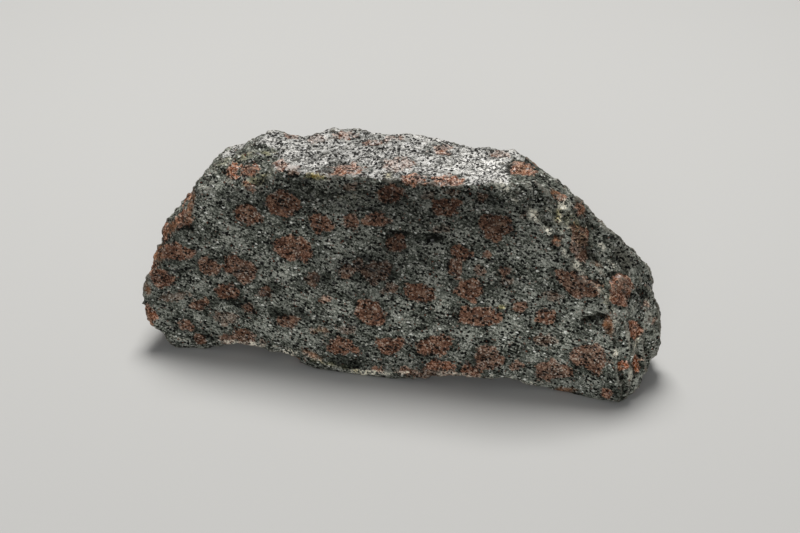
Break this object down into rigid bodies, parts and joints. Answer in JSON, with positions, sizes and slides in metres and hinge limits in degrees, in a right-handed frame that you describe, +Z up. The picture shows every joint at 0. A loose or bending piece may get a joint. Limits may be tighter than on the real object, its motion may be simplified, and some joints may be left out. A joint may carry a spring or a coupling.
{
  "type": "rock specimen",
  "caption": "Broken slab of garnet eclogite with red-brown garnets in fine grey-green rock; it stands on its long narrow edge.",
  "frame": {"origin": "below the middle of the bounding box, on the surface that the rock rests on", "axes": "+X along the slab, to the right as seen from its smooth front face; -Y out of that front face; +Z up"},
  "size_m": [0.0794, 0.0216, 0.0334],
  "materials": {
    "eclogite": "broken rock, matt and grainy"
  },
  "bodies": {
    "root": {"garnet_eclogite": "eclogite"}
  },
  "joints": []
}
